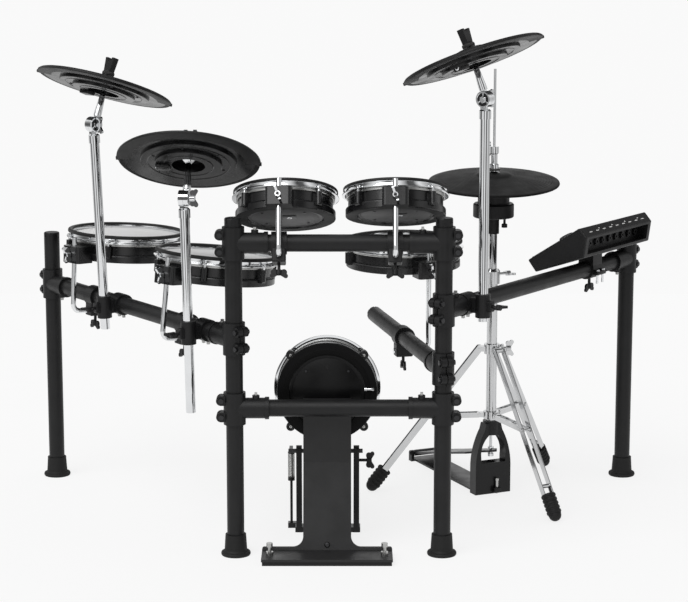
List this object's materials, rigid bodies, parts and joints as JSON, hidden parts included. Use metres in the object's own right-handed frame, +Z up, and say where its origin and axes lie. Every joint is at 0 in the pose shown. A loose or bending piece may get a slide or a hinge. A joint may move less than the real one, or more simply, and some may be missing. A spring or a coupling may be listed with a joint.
{
  "type": "electronic drum kit",
  "caption": "Electronic drum kit on a black tube rack with mesh drum pads, rubber cymbal pads, a hi-hat on its own stand, a kick tower with pedal and a tilting sound module.",
  "frame": {"origin": "on the floor under the middle of the whole kit's box", "axes": "+Z up, +X along the width to the audience's right, +Y from the audience to the drummer"},
  "size_m": [1.5136, 0.961, 1.1651],
  "materials": {
    "black_steel": "satin powder coat",
    "black_plastic": "fine texture",
    "black_rubber": "matte",
    "chrome": "polished",
    "mesh_head": "woven mesh",
    "footboard_metal": "satin",
    "plain_steel": "zinc plated"
  },
  "bodies": {
    "root": {"front_tubes": "black_steel", "front_fittings": "black_plastic", "kick_tower": "black_steel", "kick_shell": "black_plastic", "kick_hoop": "chrome", "kick_head": "mesh_head", "kick_pedal_frame": "black_steel", "hihat_base": "black_steel", "hihat_tubes": "chrome", "hihat_controller": "black_plastic", "kick_chain": "plain_steel", "kick_spring": "plain_steel"},
    "left_wing": {"left_wing_tubes": "black_steel", "left_wing_fittings": "black_plastic"},
    "right_wing": {"right_wing_tubes": "black_steel", "right_wing_fittings": "black_plastic"},
    "snare_arm": {"snare_arm": "black_steel"},
    "rack_tom_1_mount": {"rack_tom_1_mount": "chrome"},
    "rack_tom_1": {"rack_tom_1_shell": "black_plastic", "rack_tom_1_hoop": "chrome", "rack_tom_1_head": "mesh_head"},
    "rack_tom_2_mount": {"rack_tom_2_mount": "chrome"},
    "rack_tom_2": {"rack_tom_2_shell": "black_plastic", "rack_tom_2_hoop": "chrome", "rack_tom_2_head": "mesh_head"},
    "floor_tom_1_mount": {"floor_tom_1_mount": "chrome"},
    "floor_tom_1": {"floor_tom_1_shell": "black_plastic", "floor_tom_1_hoop": "chrome", "floor_tom_1_head": "mesh_head"},
    "floor_tom_2_mount": {"floor_tom_2_mount": "chrome"},
    "floor_tom_2": {"floor_tom_2_shell": "black_plastic", "floor_tom_2_hoop": "chrome", "floor_tom_2_head": "mesh_head"},
    "snare_mount": {"snare_mount": "chrome"},
    "snare": {"snare_shell": "black_plastic", "snare_hoop": "chrome", "snare_head": "mesh_head"},
    "crash_left_arm": {"crash_left_arm": "chrome"},
    "crash_left_tilter": {"crash_left_tilter": "chrome"},
    "crash_left_pad": {"crash_left_pad": "black_rubber"},
    "ride_arm": {"ride_arm": "chrome"},
    "ride_tilter": {"ride_tilter": "chrome"},
    "ride_pad": {"ride_pad": "black_rubber"},
    "crash_right_arm": {"crash_right_arm": "chrome"},
    "crash_right_tilter": {"crash_right_tilter": "chrome"},
    "crash_right_pad": {"crash_right_pad": "black_rubber"},
    "hihat_footboard": {"hihat_footboard": "footboard_metal"},
    "hihat_rod": {"hihat_rod": "chrome", "hihat_pad": "black_rubber"},
    "hihat_leg_collar": {"hihat_leg_collar": "chrome"},
    "hihat_leg_1": {"hihat_leg_1": "chrome"},
    "hihat_brace_1": {"hihat_brace_1": "chrome"},
    "hihat_leg_2": {"hihat_leg_2": "chrome"},
    "hihat_brace_2": {"hihat_brace_2": "chrome"},
    "hihat_leg_3": {"hihat_leg_3": "chrome"},
    "hihat_brace_3": {"hihat_brace_3": "chrome"},
    "kick_footboard": {"kick_footboard": "footboard_metal"},
    "kick_beater": {"kick_beater": "plain_steel"},
    "module": {"module_case": "black_plastic"},
    "module_dial": {"module_dial": "black_plastic"}
  },
  "joints": [
    {"name": "left_wing_fold", "type": "hinge", "parent": "root", "child": "left_wing", "pos_m": [-0.23706, -0.39046, 0.49301], "axis": [0, 0, -1], "range_deg": [-25, 10]},
    {"name": "right_wing_fold", "type": "hinge", "parent": "root", "child": "right_wing", "pos_m": [0.22294, -0.39046, 0.55702], "axis": [0, 0, 1], "range_deg": [-25, 8]},
    {"name": "snare_arm_swing", "type": "hinge", "parent": "root", "child": "snare_arm", "pos_m": [0.22294, -0.39046, 0.42603], "axis": [0, 0, 1], "range_deg": [-3, 10]},
    {"name": "rack_tom_1_tilt", "type": "hinge", "parent": "root", "child": "rack_tom_1_mount", "pos_m": [-0.13706, -0.39046, 0.705], "axis": [-1, 0, 0], "range_deg": [-8, 8]},
    {"name": "rack_tom_1_height", "type": "slide", "parent": "rack_tom_1_mount", "child": "rack_tom_1", "axis": [0, 0.3907, 0.9205], "range_m": [-0.015, 0.01]},
    {"name": "rack_tom_2_tilt", "type": "hinge", "parent": "root", "child": "rack_tom_2_mount", "pos_m": [0.11594, -0.39046, 0.705], "axis": [-1, 0, 0], "range_deg": [-8, 8]},
    {"name": "rack_tom_2_height", "type": "slide", "parent": "rack_tom_2_mount", "child": "rack_tom_2", "axis": [0, 0.342, 0.9397], "range_m": [-0.015, 0.01]},
    {"name": "floor_tom_1_tilt", "type": "hinge", "parent": "left_wing", "child": "floor_tom_1_mount", "pos_m": [-0.59475, 0.11473, 0.49301], "axis": [-0.5779, 0.8161, 0], "range_deg": [-10, 12]},
    {"name": "floor_tom_1_height", "type": "slide", "parent": "floor_tom_1_mount", "child": "floor_tom_1", "axis": [0.0427, 0.0302, 0.9986], "range_m": [-0.015, 0.01]},
    {"name": "floor_tom_2_tilt", "type": "hinge", "parent": "left_wing", "child": "floor_tom_2_mount", "pos_m": [-0.35263, -0.22723, 0.49301], "axis": [-0.5779, 0.8161, 0], "range_deg": [-10, 12]},
    {"name": "floor_tom_2_height", "type": "slide", "parent": "floor_tom_2_mount", "child": "floor_tom_2", "axis": [0.0853, 0.0604, 0.9945], "range_m": [-0.015, 0.01]},
    {"name": "snare_tilt", "type": "hinge", "parent": "snare_arm", "child": "snare_mount", "pos_m": [0.14391, -0.04539, 0.42603], "axis": [0.2233, -0.9748, 0], "range_deg": [-6, 8]},
    {"name": "snare_height", "type": "slide", "parent": "snare_mount", "child": "snare", "axis": [0, 0, 1], "range_m": [-0.015, 0.01]},
    {"name": "crash_left_height", "type": "slide", "parent": "left_wing", "child": "crash_left_arm", "axis": [-0.0356, -0.0252, 0.999], "range_m": [-0.06, 0.08]},
    {"name": "crash_left_tilt", "type": "hinge", "parent": "crash_left_arm", "child": "crash_left_tilter", "pos_m": [-0.57694, -0.02091, 0.92363], "axis": [-0.7253, 0.6884, -0.0085], "range_deg": [-19, 20]},
    {"name": "crash_left_swing", "type": "hinge", "parent": "crash_left_tilter", "child": "crash_left_pad", "pos_m": [-0.54708, 0.00452, 1.02438], "axis": [-0.7253, 0.6884, -0.0085], "range_deg": [-10, 10], "stiffness_Nm_per_rad": 6},
    {"name": "ride_height", "type": "slide", "parent": "left_wing", "child": "ride_arm", "axis": [-0.0185, -0.0131, 0.9997], "range_m": [-0.02, 0.08]},
    {"name": "ride_tilt", "type": "hinge", "parent": "ride_arm", "child": "ride_tilter", "pos_m": [-0.34755, -0.32411, 0.79391], "axis": [-0.994, 0.1076, -0.017], "range_deg": [-30, 8]},
    {"name": "ride_swing", "type": "hinge", "parent": "ride_tilter", "child": "ride_pad", "pos_m": [-0.33834, -0.27069, 0.88745], "axis": [-0.994, 0.1076, -0.017], "range_deg": [-10, 10], "stiffness_Nm_per_rad": 6},
    {"name": "crash_right_height", "type": "slide", "parent": "right_wing", "child": "crash_right_arm", "axis": [0, 0, 1], "range_m": [-0.06, 0.08]},
    {"name": "crash_right_tilt", "type": "hinge", "parent": "crash_right_arm", "child": "crash_right_tilter", "pos_m": [0.31168, -0.34301, 1.01402], "axis": [-0.5865, -0.81, 0], "range_deg": [-21, 20]},
    {"name": "crash_right_swing", "type": "hinge", "parent": "crash_right_tilter", "child": "crash_right_pad", "pos_m": [0.28038, -0.31418, 1.11341], "axis": [-0.5865, -0.81, 0], "range_deg": [-10, 10], "stiffness_Nm_per_rad": 6},
    {"name": "hihat_pedal", "type": "hinge", "parent": "root", "child": "hihat_footboard", "pos_m": [0.21894, 0.44919, 0.02], "axis": [0.9107, 0.4131, 0], "range_deg": [0, 2.45], "stiffness_Nm_per_rad": 60, "springref_deg": -14.32},
    {"name": "hihat_rod_pull", "type": "slide", "parent": "root", "child": "hihat_rod", "axis": [0, 0, -1], "range_m": [0, 0.0152]},
    {"name": "hihat_tripod_fold", "type": "slide", "parent": "root", "child": "hihat_leg_collar", "axis": [0, 0, 1], "range_m": [0, 0.14558]},
    {"name": "hihat_leg_1_hinge", "type": "hinge", "parent": "hihat_leg_collar", "child": "hihat_leg_1", "pos_m": [0.33296, 0.13062, 0.361], "axis": [-0.0349, -0.9994, 0], "range_deg": [0, 19.12]},
    {"name": "hihat_brace_1_hinge", "type": "hinge", "parent": "root", "child": "hihat_brace_1", "pos_m": [0.33296, 0.13062, 0.196], "axis": [0.0349, 0.9994, 0], "range_deg": [0, 61.41]},
    {"name": "hihat_leg_2_hinge", "type": "hinge", "parent": "hihat_leg_collar", "child": "hihat_leg_2", "pos_m": [0.3785, 0.10217, 0.361], "axis": [0.8829, 0.4695, 0], "range_deg": [0, 19.12]},
    {"name": "hihat_brace_2_hinge", "type": "hinge", "parent": "root", "child": "hihat_brace_2", "pos_m": [0.3785, 0.10217, 0.196], "axis": [-0.8829, -0.4695, 0], "range_deg": [0, 61.41]},
    {"name": "hihat_leg_3_hinge", "type": "hinge", "parent": "hihat_leg_collar", "child": "hihat_leg_3", "pos_m": [0.38037, 0.15583, 0.361], "axis": [-0.848, 0.5299, 0], "range_deg": [0, 19.12]},
    {"name": "hihat_brace_3_hinge", "type": "hinge", "parent": "root", "child": "hihat_brace_3", "pos_m": [0.38037, 0.15583, 0.196], "axis": [0.848, -0.5299, 0], "range_deg": [0, 61.41]},
    {"name": "kick_pedal", "type": "hinge", "parent": "root", "child": "kick_footboard", "pos_m": [-0.03306, 0.11554, 0.022], "axis": [1, 0, 0], "range_deg": [0, 5.66], "stiffness_Nm_per_rad": 25, "springref_deg": -17.19, "deforming": ["kick_spring", "kick_chain"]},
    {"name": "kick_beater_swing", "type": "hinge", "parent": "root", "child": "kick_beater", "pos_m": [-0.03306, -0.20246, 0.19], "axis": [1, 0, 0], "range_deg": [0, 55.83]},
    {"name": "module_tilt", "type": "hinge", "parent": "right_wing", "child": "module", "pos_m": [0.59855, 0.14003, 0.55702], "axis": [0.5779, 0.8161, 0], "range_deg": [-12, 12]},
    {"name": "module_dial_turn", "type": "hinge", "parent": "module", "child": "module_dial", "pos_m": [0.53944, 0.07039, 0.63652], "axis": [-0.4378, 0.31, 0.8439], "continuous": true}
  ],
  "couplings": [
    {"joint": "hihat_rod_pull", "follows": "hihat_pedal", "m_per_rad": 0.351},
    {"joint": "hihat_leg_1_hinge", "follows": "hihat_tripod_fold", "rad_per_m": 2.256},
    {"joint": "hihat_brace_1_hinge", "follows": "hihat_tripod_fold", "rad_per_m": 7.3264},
    {"joint": "hihat_leg_2_hinge", "follows": "hihat_tripod_fold", "rad_per_m": 2.256},
    {"joint": "hihat_brace_2_hinge", "follows": "hihat_tripod_fold", "rad_per_m": 7.3264},
    {"joint": "hihat_leg_3_hinge", "follows": "hihat_tripod_fold", "rad_per_m": 2.256},
    {"joint": "hihat_brace_3_hinge", "follows": "hihat_tripod_fold", "rad_per_m": 7.3264},
    {"joint": "kick_beater_swing", "follows": "kick_pedal", "ratio": 9.8333}
  ]
}
